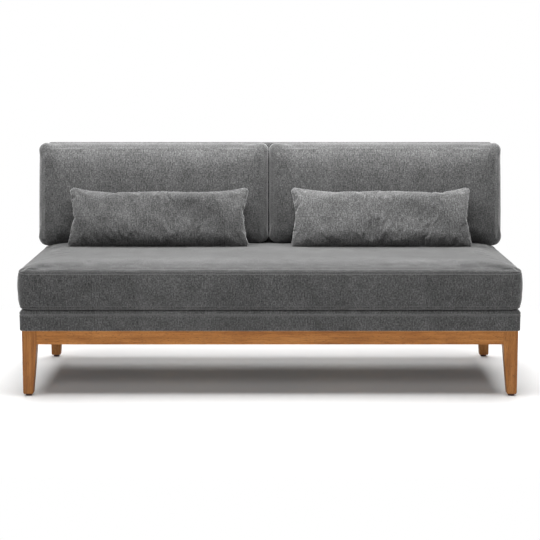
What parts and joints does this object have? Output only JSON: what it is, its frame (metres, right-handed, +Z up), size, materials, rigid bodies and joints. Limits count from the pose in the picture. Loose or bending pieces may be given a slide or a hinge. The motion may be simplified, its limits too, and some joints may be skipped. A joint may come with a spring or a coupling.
{
  "type": "armless sofa",
  "caption": "Armless sofa with a loose seat cushion, loose back cushions and lumbar pillows on an upholstered deck and a show-wood base with tapered legs.",
  "frame": {"origin": "on the floor under the middle of the sofa's width and depth", "axes": "+X to the right as seen from the front, +Y from the front to the back, +Z up"},
  "size_m": [1.865, 0.8731, 0.8833],
  "materials": {
    "show_wood": "golden brown stain under a satin clear coat, grain along each piece",
    "frame_wood": "planed pale softwood, unfinished",
    "fibreboard": "smooth brown fibreboard",
    "grey_chenille": "heathered mid-grey chenille weave, matt",
    "pillow_chenille": "heathered mid-grey chenille weave, softer and more mottled, matt",
    "foam": "cream polyurethane foam",
    "pillow_fibre": "white polyester fibre",
    "webbing": "dark elastic webbing",
    "dust_cloth": "black non-woven cloth",
    "glide_plastic": "dark red-brown plastic",
    "zinc_steel": "zinc plated"
  },
  "bodies": {
    "frame": {"front_left_leg": "show_wood", "front_right_leg": "show_wood", "rear_left_leg": "show_wood", "rear_right_leg": "show_wood", "front_rail": "show_wood", "rear_rail": "show_wood", "left_rail": "show_wood", "right_rail": "show_wood", "left_stretcher": "frame_wood", "right_stretcher": "frame_wood", "corner_blocks": "frame_wood", "deck_front_rail": "frame_wood", "deck_rear_rail": "frame_wood", "deck_left_rail": "frame_wood", "deck_right_rail": "frame_wood", "deck_left_cross_rail": "frame_wood", "deck_right_cross_rail": "frame_wood", "back_top_rail": "frame_wood", "back_seat_rail": "frame_wood", "back_left_post": "frame_wood", "back_left_inner_post": "frame_wood", "back_right_inner_post": "frame_wood", "back_right_post": "frame_wood", "deck_pad": "foam", "back_pad": "foam", "deck_cover": "grey_chenille", "back_cover": "grey_chenille", "deck_webbing_across": "webbing", "deck_webbing_along": "webbing", "back_webbing_across": "webbing", "back_webbing_along": "webbing", "glides": "glide_plastic", "corner_bolts": "zinc_steel", "back_screws": "zinc_steel", "dust_cover": "dust_cloth", "back_panel": "fibreboard"},
    "seat_cushion": {"seat_cushion_cover": "grey_chenille", "seat_cushion_foam": "foam"},
    "left_back_cushion": {"left_back_cushion_cover": "grey_chenille", "left_back_cushion_foam": "foam"},
    "right_back_cushion": {"right_back_cushion_cover": "grey_chenille", "right_back_cushion_foam": "foam"},
    "left_pillow": {"left_pillow_cover": "pillow_chenille", "left_pillow_filling": "pillow_fibre"},
    "right_pillow": {"right_pillow_cover": "pillow_chenille", "right_pillow_filling": "pillow_fibre"}
  },
  "joints": [
    {"name": "seat_cushion_lift", "type": "slide", "parent": "frame", "child": "seat_cushion", "axis": [0, 0, 1], "range_m": [0, 0.6]},
    {"name": "left_back_cushion_lift", "type": "slide", "parent": "seat_cushion", "child": "left_back_cushion", "axis": [0, 0.1736, 0.9848], "range_m": [0, 0.45]},
    {"name": "right_back_cushion_lift", "type": "slide", "parent": "seat_cushion", "child": "right_back_cushion", "axis": [0, 0.1736, 0.9848], "range_m": [0, 0.45]},
    {"name": "left_pillow_lift", "type": "slide", "parent": "seat_cushion", "child": "left_pillow", "axis": [0, 0, 1], "range_m": [0, 0.42]},
    {"name": "right_pillow_lift", "type": "slide", "parent": "seat_cushion", "child": "right_pillow", "axis": [0, 0, 1], "range_m": [0, 0.42]}
  ]
}
